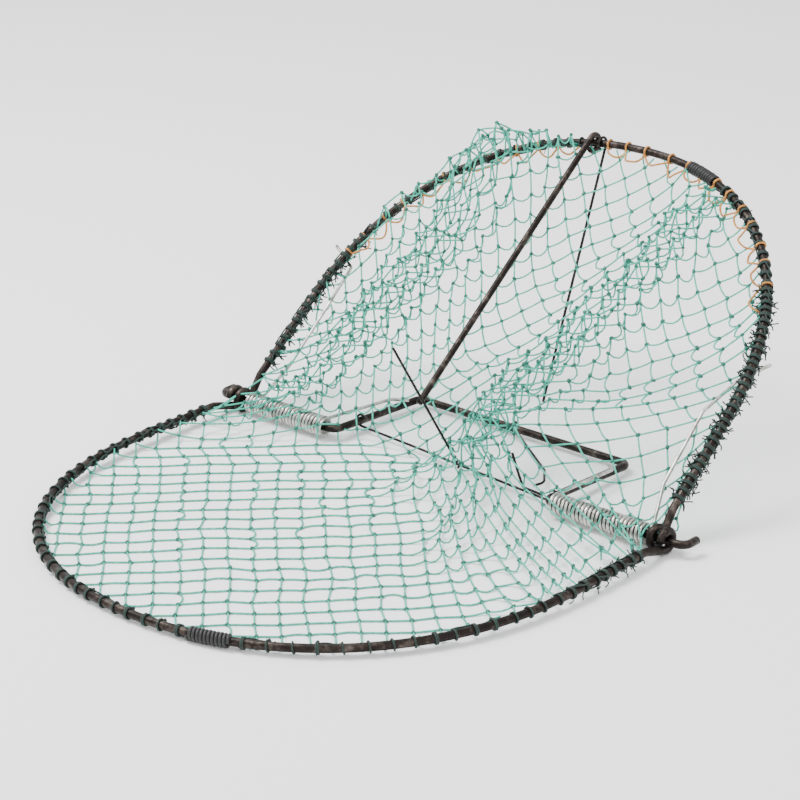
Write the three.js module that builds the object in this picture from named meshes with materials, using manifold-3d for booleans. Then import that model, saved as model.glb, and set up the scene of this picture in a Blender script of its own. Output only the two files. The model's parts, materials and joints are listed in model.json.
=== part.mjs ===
// Folding hoop trap: two steel hoops hinged on one cranked axle, sprung, with a knotted net between them.
// Millimetres, +Z up. The axle lies along X, and the floor is z = 0.
import * as THREE from 'three';
import { mergeVertices } from 'three/addons/utils/BufferGeometryUtils.js';
import Module from 'manifold-3d';

// Hoops
const ROD_RADIUS = 3;
const EYE_CLEARANCE = 0.8;
const LEG = 92;
const ROUNDNESS = 2.19;
const FRONT = { halfWidth: 204, depth: 306, side: -1 };
const BACK = { halfWidth: 195.5, depth: 297.5, side: 1 };
const BACK_RAISE = THREE.MathUtils.degToRad(38.2);
const EYE_LEAD = 24;
const EYE_OPENING = 165;

// Axle and crank
const EYE_RADIUS = 2 * ROD_RADIUS + EYE_CLEARANCE;
const AXLE_Z = EYE_RADIUS + ROD_RADIUS;
const BAR_Z = 6;
const STUB_X = 219;
const STUB_Y = 14;
const CRANK_X = 100;
const CRANK_Y = 97;
const CRANK_BEND = 7;

// Springs
const SPRING_WIRE = 1.3;
const COIL_RADIUS = 6.7;
const COIL_IN = 107.5;
const COIL_OUT = 189;
const LONG_ARM = 138;
const LONG_ARM_X = 184.5;
const LONG_HOOK_RUN = 15;
const LEFT_HOOK_X = 211;
const RIGHT_HOOK_X = 200;
const SHORT_ARM = 70;
const SHORT_ARM_X = 105.8;
const SHORT_HOOK_X = 94;
const SHORT_HOOK_RUN = 7;
const ARM_BEND = 4;
const ARM_GAP = 0.8;

// Latch rod and prop, which swing on the back hoop
const LATCH = { angle: 100.1, radius: 2.5, reach: 256, lift: 0 };
const PROP = { angle: 98, radius: 1.15, reach: 203.7, lift: THREE.MathUtils.degToRad(30.8) };
const SWING_CLEARANCE = 0.6;

// Trigger wires
const WIRE = 1;
const CROSS_MIDDLE_Y = 19.5;
const CROSS_SLANT = -0.1;
const CROSS_LOOP = ROD_RADIUS + WIRE + 0.5;
const BAIT_X = 4;
const BAIT_LOOP = 2 * WIRE + 0.5;
const BAIT_CORNERS = [[-27, -16, 97], [2, 13, 17]];
const TRIGGER_X = -7;
const TRIGGER_LOOP = ROD_RADIUS + WIRE + 0.65;
const TRIGGER_CORNERS = [[4, 88, 7], [62, 47, 7], [73, 33, 5], [68, 27, 3]];
const CATCH_X = [88, 70];
const CATCH_RISE = 2 * WIRE + 0.4;
const CATCH_CORNERS = [[66, 12.5, 16], [62, 10, 32]];

// Twine and net
const WRAP_ANGLE = 72.5;
const WRAP_SPAN = 4.6;
const WRAP_RADIUS = 5.1;
const LASHING_RADIUS = 3.95;
const FRONT_TILT = Math.asin((AXLE_Z - WRAP_RADIUS - 0.1) / FRONT.depth);
const SLEEVE_INNER = 3.5;
const SLEEVE_GAP_DEGREES = 0.6;
const BEFORE_WRAP = WRAP_ANGLE - WRAP_SPAN - SLEEVE_GAP_DEGREES;
const AFTER_WRAP = WRAP_ANGLE + WRAP_SPAN + SLEEVE_GAP_DEGREES;
const EYE_GAP_DEGREES = 3;
const LASHING_START = 30;
const HEADER_INSET = 6.6;
const HEADER_RADIUS = 0.75;
const NET_MARGIN = 9.5;
const NET_THICKNESS = 1.2;
const NET_SPLIT = 120;
const NET_START = 30;
const NET_STEP_DEGREES = 6;
const NET_CUT_DEGREES = 12;
const NET_DROP = 1.6;
const NET_GAP = 3;
const NET_RISE = 9.5;
const NET_SIDE_GAP = 5;
const WINDOW_SIZE = [130, 70, 60];
const WINDOW_PLACE = [25, 14, 35];

const OCTAGON = 8;
const HEXAGON = 6;
const COIL_SIDES = 16;

const wasm = await Module();
wasm.setup();

const vec = (x, y, z) => new THREE.Vector3(x, y, z);

// A path that keeps its own points as the stations of an extrusion.
class WirePath extends THREE.Curve {
  constructor(points) {
    super();
    this.points = points;
  }

  getPoint(t) {
    const place = t * (this.points.length - 1);
    const index = Math.min(Math.floor(place), this.points.length - 2);
    return this.points[index].clone().lerp(this.points[index + 1], place - index);
  }

  getSpacedPoints() {
    return this.points;
  }

  getTangentAt(t) {
    const index = Math.round(t * (this.points.length - 1));
    const before = this.points[Math.max(index - 1, 0)];
    const after = this.points[Math.min(index + 1, this.points.length - 1)];
    const here = this.points[index];
    const tangent = vec(0, 0, 0);
    if (!here.equals(before)) {
      tangent.add(here.clone().sub(before).normalize());
    }
    if (!here.equals(after)) {
      tangent.add(after.clone().sub(here).normalize());
    }
    return tangent.normalize();
  }
}

// A regular outline with a flat on each side, measured from the middle to a flat.
function outline(flat, sides) {
  const corner = flat / Math.cos(Math.PI / sides);
  const points = [];
  for (let i = 0; i < sides; i += 1) {
    const angle = ((i + 0.5) * 2 * Math.PI) / sides;
    points.push(new THREE.Vector2(corner * Math.cos(angle), corner * Math.sin(angle)));
  }
  return points;
}

function swept(shape, points) {
  const extrudePath = new WirePath(points);
  return new THREE.ExtrudeGeometry(shape, { steps: points.length - 1, extrudePath, bevelEnabled: false });
}

function rod(points, radius, sides = OCTAGON) {
  const shape = new THREE.Shape(outline(radius, sides));
  return swept(shape, points);
}

function sleeve(points, inner, outer) {
  const shape = new THREE.Shape(outline(outer, OCTAGON));
  shape.holes.push(new THREE.Path(outline(inner, OCTAGON).reverse()));
  return swept(shape, points);
}

// Rounds the inner corners of a line of points to one bend radius.
function bent(corners, bend, steps = 5) {
  const points = [corners[0]];
  for (let i = 1; i < corners.length - 1; i += 1) {
    const back = corners[i - 1].clone().sub(corners[i]).normalize();
    const on = corners[i + 1].clone().sub(corners[i]).normalize();
    const half = back.angleTo(on) / 2;
    const reach = bend / Math.tan(half);
    const centre = back.clone().add(on).normalize().multiplyScalar(bend / Math.sin(half)).add(corners[i]);
    const from = corners[i].clone().addScaledVector(back, reach).sub(centre);
    const to = corners[i].clone().addScaledVector(on, reach).sub(centre);
    const sweep = from.angleTo(to);
    for (let j = 0; j <= steps; j += 1) {
      const share = j / steps;
      const a = Math.sin((1 - share) * sweep) / Math.sin(sweep);
      const b = Math.sin(share * sweep) / Math.sin(sweep);
      points.push(centre.clone().addScaledVector(from, a).addScaledVector(to, b));
    }
  }
  points.push(corners[corners.length - 1]);
  return points;
}

// Points of a ring about a centre, from one angle to another, in the plane of u and v.
function ring(centre, u, v, radius, fromDegrees, toDegrees, stepDegrees = 15) {
  const steps = Math.ceil(Math.abs(toDegrees - fromDegrees) / stepDegrees);
  const points = [];
  for (let i = 0; i <= steps; i += 1) {
    const angle = THREE.MathUtils.degToRad(fromDegrees + ((toDegrees - fromDegrees) * i) / steps);
    const place = centre.clone().addScaledVector(u, radius * Math.cos(angle));
    points.push(place.addScaledVector(v, radius * Math.sin(angle)));
  }
  return points;
}

// A point on a hoop's round end, at 0 to 180 degrees from its right leg, moved inwards by inset.
function rim(hoop, degrees, inset = 0) {
  const angle = THREE.MathUtils.degToRad(degrees);
  const power = 2 / ROUNDNESS;
  const across = Math.abs(Math.cos(angle)) < 1e-9 ? 0 : Math.cos(angle);
  const x = (hoop.halfWidth - inset) * Math.sign(across) * Math.abs(across) ** power;
  const y = LEG + (hoop.depth - LEG - inset) * Math.abs(Math.sin(angle)) ** power;
  return vec(x, hoop.side * y, 0);
}

function rimRun(hoop, fromDegrees, toDegrees, steps, inset = 0) {
  const points = [];
  for (let i = 0; i <= steps; i += 1) {
    points.push(rim(hoop, fromDegrees + ((toDegrees - fromDegrees) * i) / steps, inset));
  }
  return points;
}

// A hoop lies in its own plane through the axle, which is at the origin, and ends in two open eyes.
function hoopEye(hoop, x) {
  const lean = THREE.MathUtils.radToDeg(Math.acos(EYE_RADIUS / EYE_LEAD));
  const u = vec(0, -hoop.side, 0);
  return ring(vec(x, 0, 0), u, vec(0, 0, 1), EYE_RADIUS, EYE_OPENING, -(180 - lean));
}

function hoopGeometry(hoop) {
  const right = hoopEye(hoop, hoop.halfWidth);
  const left = hoopEye(hoop, -hoop.halfWidth).reverse();
  const lead = [vec(hoop.halfWidth, hoop.side * EYE_LEAD, 0)];
  const trail = [vec(-hoop.halfWidth, hoop.side * EYE_LEAD, 0)];
  return rod([...right, ...lead, ...rimRun(hoop, 0, 180, 44), ...trail, ...left], ROD_RADIUS);
}

function crankGeometry() {
  const halfX = [
    vec(STUB_X, STUB_Y, AXLE_Z),
    vec(STUB_X, 0, AXLE_Z),
    vec(CRANK_X, 0, AXLE_Z),
    vec(CRANK_X, CRANK_Y, BAR_Z),
  ];
  const mirrored = halfX.map((p) => vec(-p.x, p.y, p.z)).reverse();
  return rod(bent([...halfX, ...mirrored], CRANK_BEND), ROD_RADIUS);
}

function toSolid(geometry) {
  const bare = geometry.clone();
  bare.deleteAttribute('normal');
  bare.deleteAttribute('uv');
  const merged = mergeVertices(bare, 1e-4);
  const vertProperties = new Float32Array(merged.attributes.position.array);
  const triVerts = new Uint32Array(merged.index.array);
  return new wasm.Manifold(new wasm.Mesh({ numProp: 3, vertProperties, triVerts }));
}

function toGeometry(solid) {
  const mesh = solid.getMesh();
  const geometry = new THREE.BufferGeometry();
  geometry.setAttribute('position', new THREE.BufferAttribute(new Float32Array(mesh.vertProperties), 3));
  geometry.setIndex(new THREE.BufferAttribute(new Uint32Array(mesh.triVerts), 1));
  geometry.computeVertexNormals();
  return geometry;
}

// A point of the raised back hoop's plane: across, out from the axle, and above the plane.
function raised(x, out, above) {
  const y = out * Math.cos(BACK_RAISE) - above * Math.sin(BACK_RAISE);
  const z = out * Math.sin(BACK_RAISE) + above * Math.cos(BACK_RAISE);
  return vec(x, y, AXLE_Z + z);
}

// A torsion spring: the coil is a sleeve on the axle, one arm runs under the back hoop, one over the crank.
function springGeometry(hand) {
  const coilPath = [vec(hand * COIL_IN, 0, AXLE_Z), vec(hand * COIL_OUT, 0, AXLE_Z)];
  const inner = COIL_RADIUS - SPRING_WIRE;
  const outer = COIL_RADIUS + SPRING_WIRE;
  const shape = new THREE.Shape(outline(outer, COIL_SIDES));
  shape.holes.push(new THREE.Path(outline(inner, COIL_SIDES).reverse()));
  const coil = swept(shape, coilPath);
  const under = -(LASHING_RADIUS + SPRING_WIRE + 1);
  const long = bent([
    raised(hand * (COIL_OUT - SPRING_WIRE), 0, -COIL_RADIUS),
    raised(hand * LONG_ARM_X, LONG_ARM, under),
    raised(hand > 0 ? RIGHT_HOOK_X : -LEFT_HOOK_X, LONG_ARM + LONG_HOOK_RUN, under),
  ], ARM_BEND);
  const shortZ = crankArmZ(SHORT_ARM) + ROD_RADIUS + SPRING_WIRE + ARM_GAP;
  const short = bent([
    vec(hand * (COIL_IN + SPRING_WIRE), 0, AXLE_Z + COIL_RADIUS),
    vec(hand * SHORT_ARM_X, SHORT_ARM, shortZ),
    vec(hand * SHORT_HOOK_X, SHORT_ARM + SHORT_HOOK_RUN, shortZ),
  ], ARM_BEND);
  const arms = [long, short].map((points) => toSolid(rod(points, SPRING_WIRE, HEXAGON)));
  return toGeometry(toSolid(coil).add(arms[0]).add(arms[1]));
}

// A straight rod that swings about the back hoop's rim, seen in the hoop's own plane.
function swingingRod(spec) {
  const seat = rim(BACK, spec.angle);
  const ringRadius = ROD_RADIUS + SWING_CLEARANCE + spec.radius;
  const out = vec(0, 1, 0);
  const up = vec(0, 0, 1);
  const start = 90 + THREE.MathUtils.radToDeg(spec.lift);
  const along = vec(0, -Math.cos(spec.lift), -Math.sin(spec.lift));
  const tangentAt = spec.lift > 0 ? start + 180 : start;
  const turn = spec.lift > 0 ? 270 : -270;
  const eye = ring(seat, out, up, ringRadius, tangentAt, tangentAt + turn);
  const foot = eye[0].clone().addScaledVector(along, spec.reach);
  return rod([foot, ...eye], spec.radius, spec.radius > 2 ? OCTAGON : HEXAGON);
}

function crankArmZ(y) {
  return AXLE_Z - ((AXLE_Z - BAR_Z) * y) / CRANK_Y;
}

// A point on the slanting cross wire, or above it.
function crossPoint(x, above = 0) {
  const y = CROSS_MIDDLE_Y + CROSS_SLANT * x;
  return vec(x, y, crankArmZ(y) - CROSS_LOOP + above);
}

// The wire between the crank's side arms, with an open loop about each.
function crossWireGeometry() {
  const across = vec(1, 0, 0);
  const up = vec(0, 0, 1);
  const right = ring(crossPoint(CRANK_X, CROSS_LOOP), across, up, CROSS_LOOP, 150, -90);
  const left = ring(crossPoint(-CRANK_X, CROSS_LOOP), across, up, CROSS_LOOP, -90, -330);
  return rod([...right, ...left], WIRE, HEXAGON);
}

// An upright wire that turns on the cross wire.
function baitGeometry() {
  const eye = ring(crossPoint(BAIT_X), vec(0, 1, 0), vec(0, 0, 1), BAIT_LOOP, -90, 150, 30);
  const corners = [...BAIT_CORNERS.map((p) => vec(...p)), eye[eye.length - 1]];
  return rod([...bent(corners, 6, 3), ...eye.slice(0, -1).reverse()], WIRE, HEXAGON);
}

// The hooked wire that turns on the crank's back bar.
function triggerGeometry() {
  const seat = vec(TRIGGER_X, CRANK_Y, BAR_Z);
  const eye = ring(seat, vec(0, 1, 0), vec(0, 0, 1), TRIGGER_LOOP, -60, 180, 20);
  const corners = [eye[eye.length - 1], ...TRIGGER_CORNERS.map((p) => vec(...p))];
  return rod([...eye.slice(0, -1), ...bent(corners, 4, 4)], WIRE, HEXAGON);
}

// The upright catch, standing just above the cross wire.
function hookGeometry() {
  const foot = CATCH_X.map((x) => crossPoint(x, CATCH_RISE));
  return rod(bent([...foot, ...CATCH_CORNERS.map((p) => vec(...p))], 3, 4), WIRE, HEXAGON);
}

function wrapGeometry(hoop) {
  return sleeve(rimRun(hoop, WRAP_ANGLE - WRAP_SPAN, WRAP_ANGLE + WRAP_SPAN, 4), SLEEVE_INNER, WRAP_RADIUS);
}

// Twine hitched along a hoop's rod, from near the eye to the wrap or to the latch rod.
function lashingGeometry(hoop, hand, towards) {
  const leg = vec(hand * hoop.halfWidth, hoop.side * LASHING_START, 0);
  const from = hand > 0 ? 0 : 180;
  const steps = Math.ceil(Math.abs(towards - from) / 6);
  return sleeve([leg, ...rimRun(hoop, from, towards, steps)], SLEEVE_INNER, LASHING_RADIUS);
}

function headerGeometry(from, to) {
  const steps = Math.ceil(Math.abs(to - from) / 5);
  return rod(rimRun(BACK, from, to, steps, HEADER_INSET), HEADER_RADIUS, HEXAGON);
}

// A thin panel of net inside a hoop's rim, from one distance out from the axle to the round end.
function netPanel(hoop, start, drop) {
  const shape = new THREE.Shape();
  const half = hoop.halfWidth - NET_MARGIN;
  const first = start < LEG ? 0 : NET_CUT_DEGREES;
  shape.moveTo(half, hoop.side * start);
  for (let degrees = first; degrees <= 180 - first; degrees += NET_STEP_DEGREES) {
    const p = rim(hoop, degrees, NET_MARGIN);
    shape.lineTo(p.x, p.y);
  }
  shape.lineTo(-half, hoop.side * start);
  const panel = new THREE.ExtrudeGeometry(shape, { depth: NET_THICKNESS, bevelEnabled: false });
  panel.translate(0, 0, drop);
  return panel;
}

// The net over the axle, from the front panel's edge up to the back panel's, with a gap for the wires.
function netOverAxle() {
  const profile = [
    raised(0, NET_SPLIT - NET_GAP, -NET_THICKNESS),
    raised(0, 26, -1),
    vec(0, 12, AXLE_Z + NET_RISE),
    vec(0, -6, AXLE_Z + NET_RISE),
    vec(0, NET_GAP - NET_START, AXLE_Z - 3),
  ];
  const shape = new THREE.Shape();
  shape.moveTo(profile[0].y, profile[0].z);
  profile.slice(1).forEach((p) => shape.lineTo(p.y, p.z));
  profile.reverse().forEach((p) => shape.lineTo(p.y + 0.4, p.z + NET_THICKNESS));
  const width = 2 * (BACK.halfWidth - NET_MARGIN - NET_SIDE_GAP);
  const strip = new THREE.ExtrudeGeometry(shape, { depth: width, bevelEnabled: false });
  strip.applyMatrix4(new THREE.Matrix4().set(0, 0, 1, -width / 2, 1, 0, 0, 0, 0, 1, 0, 0, 0, 0, 0, 1));
  const window = new THREE.BoxGeometry(...WINDOW_SIZE);
  window.translate(...WINDOW_PLACE);
  return toGeometry(toSolid(strip).subtract(toSolid(window)));
}

function material(color, roughness, metalness) {
  return new THREE.MeshStandardMaterial({ color, roughness, metalness });
}

const steel = () => material('#3a2e28', 0.45, 0.9);
const springSteel = () => material('#9a9892', 0.35, 1);
const thinSteel = () => material('#2b2826', 0.5, 0.8);
const blackTwine = () => material('#121211', 0.8, 0);
const greenTwine = () => material('#1d3a30', 0.85, 0);
const orangeTwine = () => material('#c8822c', 0.8, 0);
const netTwine = () => material('#4fbfa0', 0.7, 0);

function add(group, name, geometry, finish) {
  const mesh = new THREE.Mesh(geometry, finish());
  mesh.name = name;
  group.add(mesh);
}

// The front hoop rests on the floor at its round end, so its group leans down from the axle.
function frontGroup() {
  const group = new THREE.Group();
  group.position.z = AXLE_Z;
  group.rotation.x = FRONT_TILT;
  add(group, 'front_hoop', hoopGeometry(FRONT), steel);
  add(group, 'front_wrap', wrapGeometry(FRONT), blackTwine);
  add(group, 'front_lashing_right', lashingGeometry(FRONT, 1, BEFORE_WRAP), greenTwine);
  add(group, 'front_lashing_left', lashingGeometry(FRONT, -1, AFTER_WRAP), greenTwine);
  add(group, 'net_front', netPanel(FRONT, NET_START, -NET_DROP), netTwine);
  return group;
}

function backGroup() {
  const group = new THREE.Group();
  group.position.z = AXLE_Z;
  group.rotation.x = BACK_RAISE;
  add(group, 'back_hoop', hoopGeometry(BACK), steel);
  add(group, 'back_wrap', wrapGeometry(BACK), blackTwine);
  add(group, 'back_lashing_right', lashingGeometry(BACK, 1, BEFORE_WRAP), greenTwine);
  add(group, 'back_lashing_left', lashingGeometry(BACK, -1, LATCH.angle + EYE_GAP_DEGREES), greenTwine);
  add(group, 'header_cord_right', headerGeometry(25, PROP.angle - EYE_GAP_DEGREES), orangeTwine);
  add(group, 'header_cord_left', headerGeometry(165, LATCH.angle + EYE_GAP_DEGREES), orangeTwine);
  add(group, 'latch_rod', swingingRod(LATCH), steel);
  add(group, 'prop_rod', swingingRod(PROP), thinSteel);
  add(group, 'net_back', netPanel(BACK, NET_SPLIT, -NET_THICKNESS), netTwine);
  return group;
}

function axleGroup() {
  const group = new THREE.Group();
  add(group, 'crank_axle', crankGeometry(), steel);
  add(group, 'cross_wire', crossWireGeometry(), thinSteel);
  add(group, 'catch_hook', hookGeometry(), thinSteel);
  add(group, 'bait_stick', baitGeometry(), thinSteel);
  add(group, 'trigger_wire', triggerGeometry(), thinSteel);
  add(group, 'left_spring', springGeometry(-1), springSteel);
  add(group, 'right_spring', springGeometry(1), springSteel);
  add(group, 'net_middle', netOverAxle(), netTwine);
  return group;
}

const trap = new THREE.Group();
trap.add(frontGroup(), backGroup(), axleGroup());

// The origin is the middle of the bottom of the whole trap's box.
const box = new THREE.Box3().setFromObject(trap, true);
trap.position.set(0, -(box.min.y + box.max.y) / 2, -box.min.z);

export default trap;
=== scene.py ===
"""Folding hoop net trap: the looks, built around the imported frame.

Lengths are in millimetres and places are measured from the middle of the hinge axle, until metres() or
Tubes.object() turns them into the frame's metres. The camera, the lights and the materials are in metres."""

import json
import math
import random

import bpy
import numpy as np
from mathutils import Matrix, Vector


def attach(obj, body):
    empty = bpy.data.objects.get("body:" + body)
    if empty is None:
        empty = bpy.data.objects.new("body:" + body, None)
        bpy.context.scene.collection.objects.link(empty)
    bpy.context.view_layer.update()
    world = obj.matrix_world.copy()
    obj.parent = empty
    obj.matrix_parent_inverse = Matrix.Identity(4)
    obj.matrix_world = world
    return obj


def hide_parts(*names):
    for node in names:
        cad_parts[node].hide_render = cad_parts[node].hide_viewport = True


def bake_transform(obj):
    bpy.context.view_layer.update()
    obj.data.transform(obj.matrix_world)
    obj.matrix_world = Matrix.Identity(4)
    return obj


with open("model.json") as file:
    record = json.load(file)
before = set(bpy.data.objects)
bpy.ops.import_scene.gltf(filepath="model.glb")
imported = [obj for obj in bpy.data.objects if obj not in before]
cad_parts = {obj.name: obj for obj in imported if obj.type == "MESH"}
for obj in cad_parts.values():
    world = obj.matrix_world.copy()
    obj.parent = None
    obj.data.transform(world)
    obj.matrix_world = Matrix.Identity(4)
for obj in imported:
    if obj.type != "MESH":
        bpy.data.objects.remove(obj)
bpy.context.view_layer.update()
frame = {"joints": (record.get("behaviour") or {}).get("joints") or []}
rng = np.random.default_rng(7)
random.seed(7)

HINGE = next(j for j in frame["joints"] if j["name"] == "hoop_hinge")
AXLE = np.array(HINGE["pos_m"]) * 1000
GROUND, RAISED = "ground_frame", "raised_hoop"

# Driving dimensions, the same as the CAD's
ROD = 3.0
EYE_RADIUS = 6.8
EYE_LEAD = 24.0
LEG = 92.0
ROUNDNESS = 2.19
FRONT = {"half": 204.0, "depth": 306.0, "side": -1, "lean": math.radians(0.8613)}
BACK = {"half": 195.5, "depth": 297.5, "side": 1, "lean": math.radians(38.2)}
EYE_OPENING = 165
CRANK_X = 100.0
CRANK_Y = 97.0
CRANK_BEND = 7.0
BAR_DROP = -3.8
STUB_X = 219.0
STUB_Y = 14.0
SPRING_WIRE = 1.3
COIL_RADIUS = 6.7
COIL_IN = 107.5
COIL_OUT = 189.0
COIL_TURNS = 24
LONG_ARM_END = 138
LONG_ARM_X = 184.5
HOOK_END = 153
LEFT_HOOK_X = 211
RIGHT_HOOK_X = 200
UNDER_ROD = -6.25
SHORT_ARM_END = 70
ARM_BEND = 4.0
LATCH_ANGLE = 100.1
PROP_ANGLE = 98.0
WRAP_ANGLE = 72.5
WRAP_SPAN = 4.6
CROSS_MIDDLE_Y = 19.5
CROSS_SLANT = -0.1
LATCH_RADIUS = 2.5
LATCH_REACH = 256.0
PROP_RADIUS = 1.15
PROP_REACH = 203.7
PROP_DROP = 30.8
SWING_CLEARANCE = 0.6
WIRE = 1.0
CROSS_LOOP = ROD + WIRE + 0.5
FLOOR = -AXLE[2]

# Wires' corners: across, back from the axle, and height above the floor
BAIT_X = 4
BAIT_LOOP = 2.5
BAIT_CORNERS = [(-27, -16, 97), (2, 13, 17)]
TRIGGER_X = -7
TRIGGER_LOOP = 4.65
TRIGGER_CORNERS = [(4, 88, 7), (62, 47, 7), (73, 33, 5), (68, 27, 3)]
CATCH_X = (88, 70)
CATCH_RISE = 2.4
CATCH_CORNERS = [(66, 12.5, 16), (62, 10, 32)]


# ---------------------------------------------------------------- camera, floor and light


def make_camera():
    data = bpy.data.cameras.new("camera")
    data.lens = 117.4
    data.sensor_width = 36.0
    data.clip_end = 20.0
    camera = bpy.data.objects.new("camera", data)
    bpy.context.collection.objects.link(camera)
    place = Vector((1.13253, -1.27849, 0.73909))
    right = Vector((0.748994, 0.662549, -0.005959))
    up = Vector((-0.237613, 0.27699, 0.93103))
    back = Vector((0.618504, -0.69592, 0.364895))
    turn = Matrix((right, up, back)).transposed().to_4x4()
    camera.matrix_world = Matrix.Translation(place) @ turn
    bpy.context.scene.camera = camera


def area_light(name, place, size, power, target=(0, 0, 0.05)):
    data = bpy.data.lights.new(name, "AREA")
    data.size = size
    data.energy = power
    light = bpy.data.objects.new(name, data)
    bpy.context.collection.objects.link(light)
    aim = (Vector(target) - Vector(place)).to_track_quat("-Z", "Y")
    light.matrix_world = Matrix.Translation(Vector(place)) @ aim.to_matrix().to_4x4()


def make_stage():
    world = bpy.data.worlds.new("studio")
    bpy.context.scene.world = world
    world.use_nodes = True
    background = world.node_tree.nodes["Background"]
    background.inputs["Color"].default_value = (1.0, 1.0, 1.0, 1.0)
    background.inputs["Strength"].default_value = 1.4
    area_light("key", (-0.9, -0.5, 2.0), 1.0, 72)
    area_light("fill", (1.6, -1.2, 1.5), 1.6, 22)
    bpy.ops.mesh.primitive_plane_add(size=16, location=(0, 0, -0.0002))
    floor = bpy.context.object
    floor.name = "floor"
    paint = bpy.data.materials.new("floor")
    paint.use_nodes = True
    shader = paint.node_tree.nodes["Principled BSDF"]
    shader.inputs["Base Color"].default_value = (0.93, 0.93, 0.93, 1)
    shader.inputs["Roughness"].default_value = 0.9
    floor.data.materials.append(paint)


# ---------------------------------------------------------------- materials


def new_material(name, roughness, metallic):
    made = bpy.data.materials.new(name)
    made.use_nodes = True
    shader = made.node_tree.nodes["Principled BSDF"]
    shader.inputs["Roughness"].default_value = roughness
    shader.inputs["Metallic"].default_value = metallic
    return made, made.node_tree, shader


def node(tree, kind, **values):
    made = tree.nodes.new(kind)
    for key, value in values.items():
        if key in made.inputs:
            made.inputs[key].default_value = value
        else:
            setattr(made, key, value)
    return made


def noise(tree, scale, detail, rough):
    place = node(tree, "ShaderNodeTexCoord")
    texture = node(tree, "ShaderNodeTexNoise", Scale=scale, Detail=detail, Roughness=rough)
    tree.links.new(place.outputs["Object"], texture.inputs["Vector"])
    return texture.outputs["Fac"]


def ramp(tree, source, stops):
    made = node(tree, "ShaderNodeValToRGB")
    elements = made.color_ramp.elements
    while len(elements) < len(stops):
        elements.new(0.5)
    for element, (place, colour) in zip(elements, stops):
        element.position = place
        element.color = (*colour, 1)
    tree.links.new(source, made.inputs["Fac"])
    return made.outputs["Color"]


def bump(tree, source, shader, strength, distance):
    made = node(tree, "ShaderNodeBump", Strength=strength, Distance=distance)
    tree.links.new(source, made.inputs["Height"])
    tree.links.new(made.outputs["Normal"], shader.inputs["Normal"])


def rod_steel(name, dark, mid, worn):
    """Oxidised bar: blotches of scale, with bare metal showing where it has rubbed."""
    made, tree, shader = new_material(name, 0.45, 0.75)
    blotches = noise(tree, 90, 6, 0.7)
    colour = ramp(tree, blotches, [(0.30, dark), (0.52, mid), (0.72, worn)])
    tree.links.new(colour, shader.inputs["Base Color"])
    patches = noise(tree, 240, 3, 0.6)
    grey = ramp(tree, patches, [(0.3, (0.28,) * 3), (0.75, (0.62,) * 3)])
    tree.links.new(grey, shader.inputs["Roughness"])
    bump(tree, noise(tree, 700, 5, 0.7), shader, 0.35, 0.0004)
    return made


def bright_wire():
    made, tree, shader = new_material("bright_wire", 0.3, 1.0)
    streaks = noise(tree, 160, 4, 0.6)
    stops = [(0.30, (0.20, 0.19, 0.17)), (0.5, (0.50, 0.49, 0.46)), (0.75, (0.74, 0.73, 0.70))]
    tree.links.new(ramp(tree, streaks, stops), shader.inputs["Base Color"])
    bump(tree, noise(tree, 1400, 3, 0.6), shader, 0.15, 0.0002)
    return made


def twine(name, dark, light, rough=0.75, sheen=0.2):
    """Twisted plastic or cotton twine: fine fibres and patchy colour."""
    made, tree, shader = new_material(name, rough, 0.0)
    patches = noise(tree, 320, 3, 0.65)
    tree.links.new(ramp(tree, patches, [(0.32, dark), (0.68, light)]), shader.inputs["Base Color"])
    shader.inputs["Sheen Weight"].default_value = sheen
    bump(tree, noise(tree, 2600, 4, 0.7), shader, 0.5, 0.0003)
    return made


MATERIALS = {
    "hoop_steel": rod_steel(
        "hoop_steel", dark=(0.004, 0.0025, 0.002), mid=(0.014, 0.009, 0.007), worn=(0.10, 0.08, 0.068)
    ),
    "dark_wire": rod_steel(
        "dark_wire", dark=(0.005, 0.0045, 0.004), mid=(0.015, 0.013, 0.012), worn=(0.07, 0.063, 0.06)
    ),
    "spring_steel": bright_wire(),
    "black_twine": twine("black_twine", (0.0015, 0.0015, 0.0015), (0.008, 0.008, 0.009), 0.5, 0.04),
    "green_twine": twine("green_twine", (0.001, 0.006, 0.0045), (0.006, 0.030, 0.022), 0.7, 0.03),
    "orange_twine": twine("orange_twine", (0.30, 0.10, 0.010), (0.66, 0.29, 0.045)),
    "net_twine": twine("net_twine", (0.010, 0.27, 0.19), (0.055, 0.52, 0.385), 0.6, 0.06),
}
# The knots get a darker copy of the net twine: painted shade for the shade among a knot's turns, not a
# different twine.
KNOT_PAINTED_SHADE_TWINE = twine("knot_twine_painted_shade", (0.002, 0.07, 0.048), (0.010, 0.19, 0.135), 0.6, 0.06)


# ---------------------------------------------------------------- swept meshes


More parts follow.
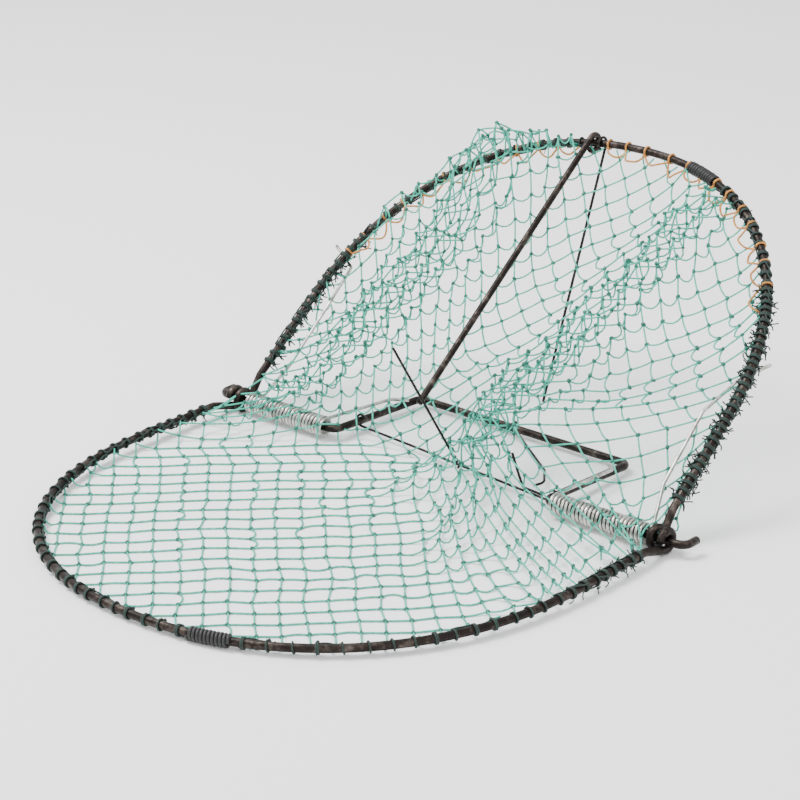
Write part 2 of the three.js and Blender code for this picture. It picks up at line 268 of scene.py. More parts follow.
class Tubes:
    """Collects swept tubes and lumps, then makes one mesh of them."""

    def __init__(self):
        self.points = []
        self.faces = []
        self.count = 0

    def sweep(self, line, radius, sides):
        """A tube with closed ends along a line of points."""
        line = np.asarray(line, float)
        along = np.gradient(line, axis=0)
        along /= np.maximum(np.linalg.norm(along, axis=1, keepdims=True), 1e-9)
        guide = np.eye(3)[np.abs(along[0]).argmin()]
        side = np.cross(along[0], guide)
        side /= np.linalg.norm(side)
        angles = np.arange(sides) * 2 * math.pi / sides
        cosines, sines = np.cos(angles), np.sin(angles)
        rings = []
        for place, direction in zip(line, along):
            side = side - direction * (side @ direction)
            side /= max(np.linalg.norm(side), 1e-9)
            other = np.cross(direction, side)
            rings.append(place + radius * (np.outer(cosines, side) + np.outer(sines, other)))
        base = self.count
        self.points.extend(rings)
        for i in range(len(line) - 1):
            for k in range(sides):
                a = base + i * sides + k
                b = base + i * sides + (k + 1) % sides
                self.faces.append((a, b, b + sides, a + sides))
        self.faces.append(tuple(base + k for k in reversed(range(sides))))
        last = base + (len(line) - 1) * sides
        self.faces.append(tuple(last + k for k in range(sides)))
        self.count += len(line) * sides

    def lump(self, points, faces):
        """A closed lump from points and faces of its own."""
        base = self.count
        self.points.append(points)
        self.faces.extend(tuple(base + k for k in face) for face in faces)
        self.count += len(points)

    def object(self, name, material, slot):
        mesh = bpy.data.meshes.new(name)
        points = (np.concatenate(self.points) + AXLE) / 1000
        # Soft twine lies flat where it meets the floor.
        points[:, 2] = np.maximum(points[:, 2], 0.0)
        mesh.from_pydata(points.tolist(), [], self.faces)
        mesh.polygons.foreach_set("use_smooth", [True] * len(mesh.polygons))
        mesh.materials.append(material)
        made = bpy.data.objects.new(name, mesh)
        bpy.context.collection.objects.link(made)
        return made

    def fit(self, name, part, slot, body):
        """Makes the piece, which stands in for one node of the CAD and moves with a body."""
        made = self.object(name + "_" + part, MATERIALS[slot], slot)
        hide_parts(name)
        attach(made, body)


def ball():
    """A small round lump of 14 points, for knots."""
    rings = [(-1.0, 0.0), (-0.55, 0.83), (0.55, 0.83), (1.0, 0.0)]
    points = [(0, 0, rings[0][0])]
    for height, wide in rings[1:3]:
        for k in range(6):
            angle = (k + (0.5 if height > 0 else 0)) * math.pi / 3
            points.append((wide * math.cos(angle), wide * math.sin(angle), height))
    points.append((0, 0, 1.0))
    faces = []
    for k in range(6):
        on = (k + 1) % 6
        faces += [(0, 1 + on, 1 + k), (1 + k, 1 + on, 7 + k), (1 + on, 7 + on, 7 + k), (13, 7 + k, 7 + on)]
    return np.array(points, float), faces


def smooth(line, steps=6):
    """A Catmull-Rom curve through the points."""
    line = np.asarray(line, float)
    ends = np.vstack([2 * line[0] - line[1], line, 2 * line[-1] - line[-2]])
    made = []
    for i in range(1, len(ends) - 2):
        for t in np.arange(steps) / steps:
            a, b, c, d = ends[i - 1 : i + 3]
            square = (2 * a - 5 * b + 4 * c - d) * t**2
            cube = (3 * b - a - 3 * c + d) * t**3
            made.append(0.5 * (2 * b + (c - a) * t + square + cube))
    made.append(line[-1])
    return np.array(made)


def bent(corners, bend, steps=8):
    """Rounds the inner corners of a line of points to one bend radius."""
    corners = [np.asarray(c, float) for c in corners]
    points = [corners[0]]
    for before, here, after in zip(corners, corners[1:], corners[2:]):
        back = (before - here) / np.linalg.norm(before - here)
        on = (after - here) / np.linalg.norm(after - here)
        half = math.acos(np.clip(back @ on, -1, 1)) / 2
        middle = (back + on) / np.linalg.norm(back + on) * bend / math.sin(half) + here
        start = here + back * bend / math.tan(half) - middle
        end = here + on * bend / math.tan(half) - middle
        sweep = math.acos(np.clip(start @ end / bend**2, -1, 1))
        for t in np.linspace(0, 1, steps + 1):
            turned_by = math.sin((1 - t) * sweep) * start + math.sin(t * sweep) * end
            points.append(middle + turned_by / math.sin(sweep))
    points.append(corners[-1])
    return np.array(points)


def ring(centre, u, v, radius, start, end, step=8):
    """Points of a ring about a centre, from one angle to another, in the plane of u and v."""
    angles = np.radians(np.linspace(start, end, int(abs(end - start) / step) + 2))
    return np.asarray(centre) + radius * (np.outer(np.cos(angles), u) + np.outer(np.sin(angles), v))


# ---------------------------------------------------------------- the hoops' shape


def rim_flat(hoop, degrees):
    """Across and out from the axle, for a point on a hoop's round end."""
    angle = math.radians(degrees)
    power = 2 / ROUNDNESS
    c, s = math.cos(angle), math.sin(angle)
    across = hoop["half"] * math.copysign(abs(c) ** power, c)
    return across, LEG + (hoop["depth"] - LEG) * abs(s) ** power


def lift(hoop, across, out, above=0.0):
    """A point given in a hoop's own plane, in the frame of the axle."""
    across, out, above = np.broadcast_arrays(across, out, above)
    y, z = hoop["side"] * out, above
    c, s = math.cos(hoop["lean"]), math.sin(hoop["lean"])
    return np.stack([across * 1.0, y * c - z * s, y * s + z * c], axis=-1)


def rim_line(hoop, steps=180):
    """The rod's middle from the right eye round to the left one, as across and out."""
    end = [rim_flat(hoop, 180 * i / steps) for i in range(steps + 1)]
    leg = [(hoop["half"], out) for out in np.linspace(EYE_LEAD, LEG, 14)[:-1]]
    other = [(-x, out) for x, out in reversed(leg)]
    return np.array(leg + end + other)


class Rim:
    """The rod of a hoop as a line with a length, to place what is tied along it."""

    def __init__(self, hoop):
        self.hoop = hoop
        self.line = rim_line(hoop)
        steps = np.linalg.norm(np.diff(self.line, axis=0), axis=1)
        self.at = np.concatenate([[0], np.cumsum(steps)])
        self.length = self.at[-1]

    def flat(self, along):
        return np.stack([np.interp(along, self.at, self.line[:, k]) for k in range(2)], axis=-1)

    def frame(self, along):
        """A place on the rod's middle, and the directions outwards and up from it."""
        here, near = self.flat(along), self.flat(np.asarray(along) + 0.5)
        before = self.flat(np.asarray(along) - 0.5)
        run = near - before
        run = run / np.linalg.norm(run, axis=-1, keepdims=True)
        origin = lift(self.hoop, 0, 0)
        place = lift(self.hoop, here[..., 0], here[..., 1])
        outwards = lift(self.hoop, run[..., 1], -run[..., 0]) - origin
        up = lift(self.hoop, 0, 0, 1.0) - origin
        return place, outwards, np.broadcast_to(up, np.shape(place))

    def around(self, along, radius, angle):
        """A point beside the rod: angle 0 is outwards, 90 is up."""
        place, outwards, up = self.frame(along)
        radius, angle = np.broadcast_arrays(radius, np.radians(angle))
        beside = (radius * np.cos(angle))[..., None] * outwards
        return place + beside + (radius * np.sin(angle))[..., None] * up

    def where(self, degrees):
        """The distance along the rod at an angle of the round end."""
        across, out = rim_flat(self.hoop, degrees)
        return float(self.at[np.hypot(self.line[:, 0] - across, self.line[:, 1] - out).argmin()])


FRONT_RIM, BACK_RIM = Rim(FRONT), Rim(BACK)


# ---------------------------------------------------------------- rods and wires


def uneven(line, size, wave):
    """Hand-bent rod isn't true: a slow wander of its middle, none at its ends."""
    line = np.asarray(line, float)
    along = np.concatenate([[0], np.cumsum(np.linalg.norm(np.diff(line, axis=0), axis=1))])
    fade = np.sin(math.pi * along / along[-1]) ** 0.5
    wander = np.zeros_like(line)
    for k in range(3):
        phase = rng.uniform(0, 2 * math.pi, 2)
        slow = np.sin(along / wave * 2 * math.pi + phase[0])
        wander[:, k] = slow + 0.5 * np.sin(along / wave * 5 + phase[1])
    return line + wander * (size * fade)[:, None]


def hoop_line(rim):
    """One eye, the rod, and the other eye."""
    hoop = rim.hoop
    lean = math.degrees(math.acos(EYE_RADIUS / EYE_LEAD))
    angles = np.radians(np.linspace(EYE_OPENING, -(180 - lean), 40))
    eye_out = -EYE_RADIUS * np.cos(angles)
    eye_up = EYE_RADIUS * np.sin(angles)
    right = lift(hoop, hoop["half"], eye_out, eye_up)
    left = lift(hoop, -hoop["half"], eye_out, eye_up)[::-1]
    middle = lift(hoop, rim.line[:, 0], rim.line[:, 1])
    return np.concatenate([right, middle, left])


def make_hoop(name, rim, body):
    tubes = Tubes()
    tubes.sweep(hoop_line(rim), ROD, 16)
    tubes.fit(name, "bar", "hoop_steel", body)


def crank_line():
    half = [(STUB_X, STUB_Y, 0), (STUB_X, 0, 0), (CRANK_X, 0, 0), (CRANK_X, CRANK_Y, BAR_DROP)]
    return bent(half + [(-x, y, z) for x, y, z in reversed(half)], CRANK_BEND)


def densify(line, step=6.0):
    """Adds points so that no straight run is longer than a step."""
    line = np.asarray(line, float)
    along = np.concatenate([[0], np.cumsum(np.linalg.norm(np.diff(line, axis=0), axis=1))])
    want = np.unique(np.concatenate([along, np.arange(0, along[-1], step)]))
    keep = np.concatenate([[True], np.diff(want) > 0.05])
    return np.stack([np.interp(want[keep], along, line[:, k]) for k in range(3)], axis=1)


def make_rod(name, line, radius, slot, body, sides, wander=0.0):
    line = densify(line)
    if wander:
        line = uneven(line, wander, 90.0)
    tubes = Tubes()
    tubes.sweep(line, radius, sides)
    tubes.fit(name, "bar", slot, body)


def swinging_line(degrees, radius, reach, drop):
    """A rod whose eye turns about the back hoop's rim, in the plane across the axle."""
    across, out = rim_flat(BACK, degrees)
    eye = ROD + SWING_CLEARANCE + radius
    start = 90 + drop + (180 if drop else 0)
    turn = 270 if drop else -270
    angles = np.radians(np.linspace(start, start + turn, 42))
    loop = lift(BACK, across, out + eye * np.cos(angles), eye * np.sin(angles))
    slope = math.radians(drop)
    along = lift(BACK, 0, -math.cos(slope), -math.sin(slope)) - lift(BACK, 0, 0)
    return np.vstack([loop[0] + reach * along, loop])


def arm_z(y):
    """The height of the crank's side arms."""
    return BAR_DROP * y / CRANK_Y


def cross_point(x, above=0.0):
    """A point on the slanting cross wire, or above it."""
    y = CROSS_MIDDLE_Y + CROSS_SLANT * x
    return np.array([x, y, arm_z(y) - CROSS_LOOP + above])


def from_floor(corners):
    return [(x, y, height - AXLE[2]) for x, y, height in corners]


def make_cross_wire():
    x_axis, _, z_axis = np.eye(3)
    right = ring(cross_point(CRANK_X, CROSS_LOOP), x_axis, z_axis, CROSS_LOOP, 150, -90)
    left = ring(cross_point(-CRANK_X, CROSS_LOOP), x_axis, z_axis, CROSS_LOOP, -90, -330)
    make_rod("cross_wire", np.concatenate([right, left]), WIRE, "dark_wire", GROUND, 8, wander=0.25)


def make_catch_hook():
    hook = [cross_point(x, CATCH_RISE) for x in CATCH_X] + from_floor(CATCH_CORNERS)
    make_rod("catch_hook", smooth(bent(hook, 3.0), 3), WIRE, "dark_wire", GROUND, 8)


def make_bait_stick():
    _, y_axis, z_axis = np.eye(3)
    eye = ring(cross_point(BAIT_X), y_axis, z_axis, BAIT_LOOP, -90, 150)
    stick = bent(from_floor(BAIT_CORNERS) + [eye[-1]], 6.0)
    make_rod("bait_stick", np.concatenate([stick, eye[-2::-1]]), WIRE, "dark_wire", "bait", 8)


def make_trigger_wire():
    _, y_axis, z_axis = np.eye(3)
    eye = ring((TRIGGER_X, CRANK_Y, BAR_DROP), y_axis, z_axis, TRIGGER_LOOP, -60, 180)
    arm = bent([eye[-1]] + from_floor(TRIGGER_CORNERS), 4.0)
    make_rod("trigger_wire", np.concatenate([eye[:-1], arm]), WIRE, "dark_wire", "trigger", 8)


def coil_line():
    """The right coil, from its inner end's top to its outer end, under the raised hoop."""
    turns = np.linspace(0, COIL_TURNS, COIL_TURNS * 18 + 1)
    inner, outer = COIL_IN + SPRING_WIRE, COIL_OUT - SPRING_WIRE
    across = inner + (outer - inner) * turns / COIL_TURNS
    start = math.radians(90)
    finish = BACK["lean"] - math.radians(90)
    total = 2 * math.pi * COIL_TURNS + (finish - start)
    angles = start + total * turns / COIL_TURNS
    radius = COIL_RADIUS * (1 + 0.02 * np.sin(turns * 2.1))
    return np.stack([across, radius * np.cos(angles), radius * np.sin(angles)], axis=1)


def make_spring(name, hand):
    coil = coil_line()
    hook_x = RIGHT_HOOK_X if hand > 0 else LEFT_HOOK_X
    bowed = [lift(BACK, 177, 40, -2.0), lift(BACK, 176, 100, 1.0)]
    hooked = [lift(BACK, LONG_ARM_X, LONG_ARM_END, UNDER_ROD), lift(BACK, hook_x, HOOK_END, UNDER_ROD)]
    long_arm = bent([coil[-1]] + bowed + hooked, ARM_BEND)
    short_z = arm_z(SHORT_ARM_END) + ROD + SPRING_WIRE + 0.8
    short_arm = bent([coil[0], (105.8, SHORT_ARM_END, short_z), (94, SHORT_ARM_END + 7, short_z)], ARM_BEND)
    line = np.concatenate([densify(short_arm, 8)[::-1][:-1], coil, densify(long_arm, 8)[1:]])
    tubes = Tubes()
    tubes.sweep(line * (hand, 1, 1), SPRING_WIRE, 10)
    made = tubes.object(name + "_wire", MATERIALS["spring_steel"], "spring_steel")
    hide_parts(name)
    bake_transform(made)


# ---------------------------------------------------------------- twine on the hoops


def make_wrap(name, rim, body):
    """A tight winding of cord with its two ends tucked against the rod."""
    tubes = Tubes()
    first = rim.where(WRAP_ANGLE - WRAP_SPAN) + 1.5
    last = rim.where(WRAP_ANGLE + WRAP_SPAN) - 1.5
    turns = 11
    t = np.linspace(0, 1, turns * 16)
    radius = 3.72 + 0.08 * np.sin(t * 41)
    line = rim.around(first + (last - first) * t, radius, 360 * turns * t)
    tubes.sweep(line, 1.3, 7)
    for end, sign in ((first, -1), (last, 1)):
        tucked = [(0, 4.4, 200), (4, 4.6, 235), (7, 5.2, 250)]
        tail = [rim.around(end + sign * run, radius, angle) for run, radius, angle in tucked]
        tubes.sweep(smooth(tail, 4), 0.9, 6)
    tubes.fit(name, "cord", "black_twine", body)


def hitch(tubes, rim, along, turns, radius, slant=2.2):
    """Turns of twine about the rod, with the knot on its inner side."""
    t = np.linspace(0, 1, turns * 12 + 1)
    start = random.uniform(150, 215)
    line = rim.around(along + slant * (t - 0.5), ROD + radius * 0.95, start + 360 * turns * t)
    tubes.sweep(line, radius, 6)
    points, faces = ball()
    size = random.uniform(1.15, 1.6)
    place = rim.around(along, ROD + 1.3, start + random.uniform(-20, 20))
    tubes.lump(points @ turned() * (size, size * 0.9, size * 1.15) + place, faces)


def turned():
    """A random turn, as a matrix."""
    basis, _ = np.linalg.qr(rng.normal(size=(3, 3)))
    return basis


def add_whiskers(tubes, rim, here, thick):
    """Frayed ends that stand out from a hitch."""
    for _ in range(int(thick**2 * 9 + random.random() * 0.6)):
        angle = random.uniform(120, 330)
        reach = random.uniform(1.8, 4.2) * (1 + thick * random.random())
        tip = here + random.uniform(-5, 5)
        whisker = [
            rim.around(here, ROD + 0.6, angle),
            rim.around((here + tip) / 2, ROD + reach * 0.6, angle + 10),
            rim.around(tip, ROD + reach, angle + random.uniform(-25, 25)),
        ]
        tubes.sweep(smooth(whisker, 3), 0.3 + 0.22 * thick, 5)


def make_lashing(name, rim, body, first, last, spacing, busy):
    """Twine hitched along the rod. busy(along) from 0 to 1 adds more turns, ends and whiskers."""
    tubes = Tubes()
    here = first
    previous = None
    while here < last:
        thick = busy(here)
        hitch(tubes, rim, here, 2 if random.random() < 0.45 + 0.5 * thick else 1, 0.72 + 0.12 * thick)
        if previous is not None:
            t = np.linspace(previous, here, 6)
            side = 180 + random.uniform(-45, 45)
            tubes.sweep(rim.around(t, ROD + 0.75, side + 12 * np.sin((t - previous) * 0.4)), 0.65, 6)
            if thick > 0.3:
                sway = random.uniform(-140, 140)
                tubes.sweep(rim.around(t, ROD + 0.9, sway + 60 * (t - previous) / spacing), 0.62, 6)
        add_whiskers(tubes, rim, here, thick)
        previous = here
        here += spacing * (1 - 0.45 * thick) * random.uniform(0.85, 1.15)
    tubes.fit(name, "twine", "green_twine", body)


def front_right_busy(along):
    return max(0.0, 1 - along / 130) * 0.9


def front_left_busy(along):
    return max(0.12, 1 - (FRONT_RIM.length - along) / 120) * 0.8


def back_right_busy(along):
    return 1.0 if along < 190 else 0.35


def back_left_busy(along):
    return 1.0 if BACK_RIM.length - along < 150 else 0.3


def make_lashings():
    before = WRAP_ANGLE - WRAP_SPAN
    after = WRAP_ANGLE + WRAP_SPAN
    ends = 8
    past_latch = BACK_RIM.where(LATCH_ANGLE + 2.5)
    runs = [
        ("front_lashing_right", FRONT_RIM, GROUND, ends, FRONT_RIM.where(before) - 4, 14.5, front_right_busy),
        ("front_lashing_left", FRONT_RIM, GROUND, FRONT_RIM.where(after) + 6, None, 14.5, front_left_busy),
        ("back_lashing_right", BACK_RIM, RAISED, ends, BACK_RIM.where(before) - 4, 11.0, back_right_busy),
        ("back_lashing_left", BACK_RIM, RAISED, past_latch, None, 14.0, back_left_busy),
    ]
    for name, rim, body, first, last, spacing, busy in runs:
        make_lashing(name, rim, body, first, last or rim.length - ends, spacing, busy)


def make_header(name, start, end):
    """Orange twine that hangs in loops between the back hoop's hitches."""
    tubes = Tubes()
    here = BACK_RIM.where(start)
    last = BACK_RIM.where(end)
    if here > last:
        here, last = last, here
    close = ROD + 0.8
    line = []
    while here < last:
        span = random.uniform(15, 24)
        deep = random.uniform(5.5, 10.5)
        for t in np.linspace(0, 1, 7)[:-1]:
            sag = math.sin(math.pi * t) ** 0.7 * deep
            sway = 180 + 12 * math.sin(5 * t + here)
            line.append(BACK_RIM.around(here + span * t, ROD + 1.2 + sag, sway))
        line.extend(BACK_RIM.around(np.full(5, here + span), close, np.linspace(180, -100, 5)))
        line.extend(BACK_RIM.around(np.full(3, here + span + 1.2), close, np.linspace(-130, -180, 3)))
        here += span
    tubes.sweep(smooth(line, 3), 0.8, 6)
    tubes.fit(name, "twine", "orange_twine", RAISED)


# ---------------------------------------------------------------- the net

# The mesh from knot to knot, how slack it is, and how much more net there is lengthwise behind the axle
MESH = 16.5
SLACK = 1.02
BACK_STRETCH = 1.10
RIM_INSET = 4.2
HITCH_SPACING = 11.6
TWINE = 0.68
TWINE_GAP = 0.7
NET_SIDE = 225
LATTICE_REACH = 34

# How the net settles: steps, passes over the links in each, and how it moves
STEPS = 200
LINK_PASSES = 7
DAMPING = 0.93
GRAVITY = 0.09
LINK_PUSH = 0.01
RELAX = 1.6
BAIT_OBSTACLE = ((-27, -16, 87), (2, 13, 7), WIRE)
COIL_OBSTACLE_END = 192

# Gathered folds: two points across and out, how wide, how much is gathered, and where it fades in and out
FOLDS = [
    ((-92, 250), (-142, 40), 29.0, 3.3, (-50, 90), (262, 300)),
    ((92, 290), (26, 25), 21.0, 3.0, (-60, 60), (270, 310)),
    ((8, 90), (66, -40), 20.0, 2.9, (-130, 10), (40, 110)),
]
# Spare net rolls over itself in a fold: the size of a roll, and the net's length in one
ROLL = 9.0
ROLL_LENGTH = 44.0
# Spare net stands over the back hoop: across, out, how far it spreads, how high and how far out it stands
BULGES = [(-112, 250, 36, 32, 16), (-76, 280, 26, 20, 12), (-172, 186, 32, 18, 18)]


def half_width(out):
    """How far across the net reaches, at a distance out from the axle: minus is the front."""
    out = np.atleast_1d(np.asarray(out, float))
    made = np.zeros_like(out)
    for hoop, chosen in ((FRONT, out < 0), (BACK, out >= 0)):
        away = np.abs(out[chosen])
        share = np.clip((away - LEG) / (hoop["depth"] - LEG - RIM_INSET), 0, 1)
        made[chosen] = (hoop["half"] - RIM_INSET) * (1 - share**ROUNDNESS) ** (1 / ROUNDNESS)
    return made


def fold_weight(across, out, fold):
    """How strongly a fold gathers the net at a place, from 0 to 1."""
    (x0, y0), (x1, y1), wide, _, rise, fall = fold
    middle = x0 + (x1 - x0) * (out - y0) / (y1 - y0)
    fade_in = np.clip((out - rise[0]) / (rise[1] - rise[0]), 0, 1)
    fade_out = np.clip((fall[1] - out) / (fall[1] - fall[0]), 0, 1)
    return fade_in * fade_out * np.exp(-(((across - middle) / wide) ** 2))


def gather(out):
    """Lattice distance across as a table against real distance, at one distance out."""
    across = np.linspace(-230, 230, 461)
    dense = np.ones_like(across)
    for fold in FOLDS:
        dense = dense + fold[3] * fold_weight(across, out, fold)
    table = np.cumsum(dense)
    return table - np.interp(0.0, across, table), across


def spread_of(key):
    """A knot's place across the net, laid flat."""
    return (key[0] + key[1]) * MESH / math.sqrt(2)


def lattice():
    """Knots of the diamond mesh within the hoops' length, as across and out from the axle."""
    tables = {}
    knots = {}
    steps = range(-LATTICE_REACH, LATTICE_REACH + 1)
    for i in steps:
        for j in steps:
            lengthwise = (i - j) * MESH / math.sqrt(2)
            out = lengthwise if lengthwise < 0 else lengthwise / BACK_STRETCH
            if not -FRONT["depth"] < out < BACK["depth"]:
                continue
            row = round(out)
            if row not in tables:
                tables[row] = gather(row)
            across = float(np.interp(spread_of((i, j)), *tables[row]))
            if abs(across) < NET_SIDE:
                knots[(i, j)] = (across, out)
    return knots


def surface(across, out, spread):
    """The net's first shape before it settles. spread is the place across the net itself, laid flat."""
    folded = sum(fold_weight(across, out, fold) for fold in FOLDS)
    turn = 2 * math.pi * spread / ROLL_LENGTH + out / 40
    roll = folded * ROLL * rng.uniform(0.7, 1.3)
    across = across + roll * math.sin(turn)
    above, further = 0.5 + roll * (0.75 + math.cos(turn)), 0.0
    for x, y, wide, high, beyond in BULGES:
        near = math.exp(-((across - x) ** 2 + (out - y) ** 2) / wide**2)
        above += high * near
        further += beyond * near
    if out < 0:
        made = lift(FRONT, across, -out, above - 1.0)
    else:
        made = lift(BACK, across * (1 + further / 400), out + further, above)
    near = math.exp(-((out / 22) ** 2))
    return made + (0, 0, near * (11.5 if abs(across) > 98 else 7.0))


def rim_point(across, out):
    """The nearest hitch on the hoop's rod to a place at the net's edge."""
    rim = FRONT_RIM if out < 0 else BACK_RIM
    away = np.hypot(rim.line[:, 0] - across, rim.line[:, 1] - abs(out))
    along = rim.at[away.argmin()]
    along = round(along / HITCH_SPACING) * HITCH_SPACING
    return rim.around(along, ROD + 0.9, 180 + random.uniform(-35, 35))


def hold(across, out):
    """How firmly a knot keeps its first place: folds and bulges are caught up, the rest hangs free."""
    folded = sum(fold_weight(across, out, fold) for fold in FOLDS)
    bulge = sum(math.exp(-((across - x) ** 2 + (out - y) ** 2) / w**2) for x, y, w, _, _ in BULGES)
    return min(0.5, 0.30 * folded + 0.45 * bulge)


def edge_place(inner, outer):
    """Where a bar that leaves the hoops crosses the net's edge."""
    for share in np.linspace(0.05, 1, 20):
        edge = inner + (outer - inner) * share
        if abs(edge[0]) > half_width(edge[1])[0]:
            break
    return edge


class Particles:
    """Places of the net's points, which of them are tied, and how firmly the others are held."""

    def __init__(self):
        self.places = []
        self.fixed = []
        self.held = []

    def add(self, place, fixed=False, held=0.0):
        self.places.append(place)
        self.fixed.append(fixed)
        self.held.append(held)
        return len(self.places) - 1


def add_bars(net, knots, inside, index):
    """The mesh's bars as pairs of particles, with a hitch on the rod for each bar that is cut."""
    bars = []
    for key in knots:
        for step in ((1, 0), (0, 1)):
            other = (key[0] + step[0], key[1] + step[1])
            if other not in knots or (key not in inside and other not in inside):
                continue
            ends = []
            for one, two in ((key, other), (other, key)):
                if one in inside:
                    ends.append(index[one])
                else:
                    edge = edge_place(np.array(inside[two]), np.array(knots[one]))
                    ends.append(net.add(rim_point(*edge), fixed=True))
            bars.append(ends)
    return bars


def build_net():
    """Particles at each knot, at the middle of each bar, and at each hitch on the rods."""
    knots = lattice()
    inside = {k: p for k, p in knots.items() if abs(p[0]) < half_width(p[1])[0] - 2.5}
    net = Particles()
    index = {}
    for key, (across, out) in inside.items():
        index[key] = net.add(surface(across, out, spread_of(key)), held=hold(across, out))
    bars = add_bars(net, knots, inside, index)
    middles = []
    for a, b in bars:
        loose = 1 + 5 * (net.held[a] + net.held[b])
        middles.append(net.add((net.places[a] + net.places[b]) / 2 + rng.normal(0, loose, 3)))
    places, fixed, held = np.array(net.places), np.array(net.fixed), np.array(net.held)
    bars = np.array(bars)
    gap = np.linalg.norm(places[bars[:, 0]] - places[bars[:, 1]], axis=1)
    edge = fixed[bars].any(axis=1)
    half = np.where(edge, np.minimum(gap * 1.05, MESH), MESH * SLACK) / 2
    rest = half * rng.uniform(0.93, 1.07, len(gap))
    links = np.concatenate([np.stack([bars[:, 0], middles], 1), np.stack([bars[:, 1], middles], 1)])
    return places, fixed, held, bars, np.array(middles), links, np.concatenate([rest, rest]), len(inside)


def obstacles():
    """Rods that the net lies on, as ends and radius."""
    bar = (-CRANK_X, CRANK_Y, BAR_DROP), (CRANK_X, CRANK_Y, BAR_DROP)
    latch = swinging_line(LATCH_ANGLE, LATCH_RADIUS, LATCH_REACH, 0)
    prop = swinging_line(PROP_ANGLE, PROP_RADIUS, PROP_REACH, PROP_DROP)
    rods = []
    for hand in (-1, 1):
        coil = (hand * COIL_IN, 0, 0), (hand * COIL_OBSTACLE_END, 0, 0)
        rods.append((*coil, COIL_RADIUS + SPRING_WIRE))
        rods.append(((hand * CRANK_X, 0, 0), (hand * CRANK_X, CRANK_Y, BAR_DROP), ROD))
    rods.append((*bar, ROD))
    rods.append((cross_point(-CRANK_X), cross_point(CRANK_X), WIRE))
    rods.append(BAIT_OBSTACLE)
    rods.append((latch[0], latch[1], LATCH_RADIUS))
    rods.append((prop[0], prop[1], PROP_RADIUS))
    return rods


def sag_limit(out):
    """How far the back net may hang below its hoop and still clear the floor when the trap is opened flat."""
    flat = math.radians(-HINGE["range_deg"][0]) - BACK["lean"]
    return -FLOOR - out * math.sin(flat) - 2 * TWINE_GAP


def pull_links(places, links, rest, weight, share, pull):
    """One pass that shortens each link that is too long. A slack link hardly pushes back."""
    a, b = links[:, 0], links[:, 1]
    d = places[b] - places[a]
    length = np.maximum(np.linalg.norm(d, axis=1), 1e-6)
    over = np.where(length > rest, length - rest, LINK_PUSH * (length - rest))
    move = d * (over / length / np.maximum(pull, 1e-6))[:, None]
    total = np.zeros_like(places)
    for k in range(3):
        total[:, k] += np.bincount(a, move[:, k] * weight[a], len(places))
        total[:, k] -= np.bincount(b, move[:, k] * weight[b], len(places))
    return places + total / np.maximum(share, 1)[:, None] * RELAX


def push_off(places, rod, weight):
    """Moves the net out of one rod."""
    start, end, radius = np.asarray(rod[0], float), np.asarray(rod[1], float), rod[2]
    line = end - start
    t = np.clip(((places - start) @ line) / (line @ line), 0, 1)
    away = places - (start + t[:, None] * line)
    far = np.maximum(np.linalg.norm(away, axis=1), 1e-6)
    push = np.clip(radius + TWINE_GAP - far, 0, None) / far
    return places + away * (push * weight)[:, None]


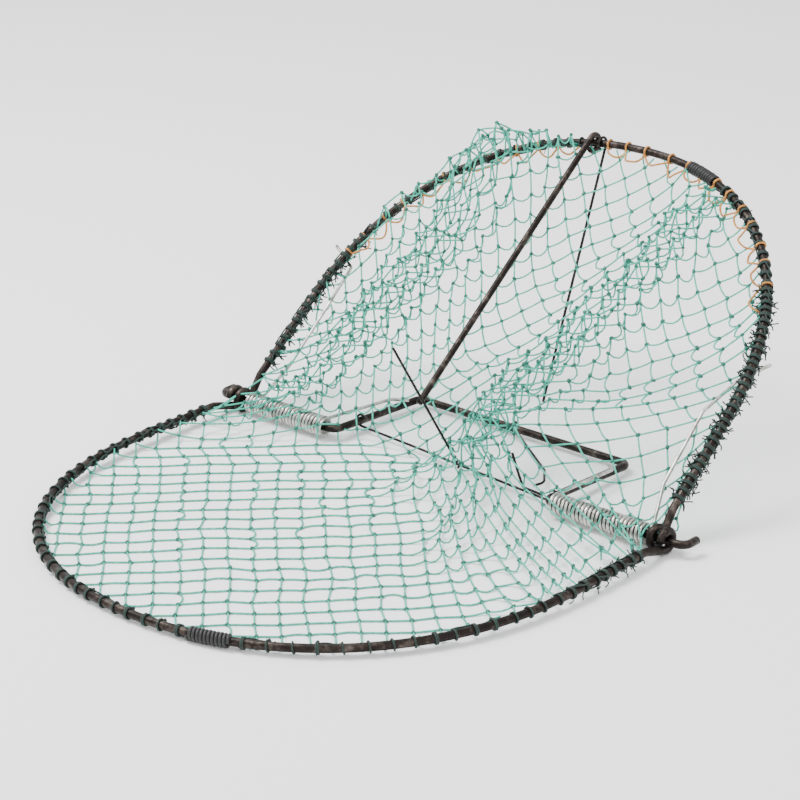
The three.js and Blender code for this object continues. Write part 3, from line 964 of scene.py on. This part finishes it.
def settle(places, fixed, held, links, rest, steps):
    """Hangs the net. Twine lies on rods and on the floor, and held knots return to their first place."""
    home = places.copy()
    places = places + np.where(fixed, 0, 1)[:, None] * rng.normal(0, 0.9, places.shape)
    before = places.copy()
    weight = np.where(fixed, 0.0, 1.0)
    share = np.bincount(links.ravel(), minlength=len(places)).astype(float)
    pull = weight[links[:, 0]] + weight[links[:, 1]]
    rods = obstacles()
    up = lift(BACK, 0, 0, 1.0)
    out = lift(BACK, 0, 1, 0)
    behind = places @ out > 30
    for _ in range(steps):
        moving = (places - before) * DAMPING
        before = places.copy()
        places = places + (moving + (0, 0, -GRAVITY)) * weight[:, None]
        places = places + (home - places) * held[:, None]
        for _ in range(LINK_PASSES):
            places = pull_links(places, links, rest, weight, share, pull)
        for rod in rods:
            places = push_off(places, rod, weight)
        on_floor = np.maximum(places[:, 2], FLOOR + TWINE_GAP)
        places[:, 2] = np.where(weight > 0, on_floor, places[:, 2])
        low = np.clip(-sag_limit(places @ out) - places @ up, 0, None) * behind * weight
        places = places + low[:, None] * up
    return places


def make_net():
    places, fixed, held, bars, middles, links, rest, knots = build_net()
    places = settle(places, fixed, held, links, rest, STEPS)
    twines, lumps = Tubes(), Tubes()
    points, faces = ball()
    t = np.linspace(0, 1, 5)[:, None]
    for (a, b), middle in zip(bars, middles):
        mid = 2 * places[middle] - (places[a] + places[b]) / 2
        line = (1 - t) ** 2 * places[a] + 2 * t * (1 - t) * mid + t**2 * places[b]
        twines.sweep(line, TWINE, 5)
    for k in range(knots):
        size = random.uniform(1.4, 1.85)
        shape = (size * 1.25, size, size * 0.85)
        lumps.lump(points @ turned() * shape @ turned() + places[k], faces)
    strands = twines.object("net_strands", MATERIALS["net_twine"], "net_twine")
    # The knots wear the darker copy of the twine, which is painted shade.
    tied = lumps.object("net_knots", KNOT_PAINTED_SHADE_TWINE, "net_twine")
    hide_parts("net_front", "net_middle", "net_back")
    for piece in (strands, tied):
        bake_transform(piece)


# ---------------------------------------------------------------- everything

make_camera()
make_stage()
make_hoop("front_hoop", FRONT_RIM, GROUND)
make_hoop("back_hoop", BACK_RIM, RAISED)
make_rod("crank_axle", crank_line(), ROD, "hoop_steel", GROUND, 16)
latch_line = swinging_line(LATCH_ANGLE, LATCH_RADIUS, LATCH_REACH, 0)
make_rod("latch_rod", latch_line, LATCH_RADIUS, "hoop_steel", "latch", 14)
prop_line = swinging_line(PROP_ANGLE, PROP_RADIUS, PROP_REACH, PROP_DROP)
make_rod("prop_rod", prop_line, PROP_RADIUS, "dark_wire", "prop", 10)
make_cross_wire()
make_catch_hook()
make_bait_stick()
make_trigger_wire()
make_spring("left_spring", -1)
make_spring("right_spring", 1)
make_wrap("front_wrap", FRONT_RIM, GROUND)
make_wrap("back_wrap", BACK_RIM, RAISED)
make_lashings()
make_header("header_cord_right", 26, PROP_ANGLE - 3)
make_header("header_cord_left", 163, LATCH_ANGLE + 3)
make_net()

bpy.context.view_layer.update()
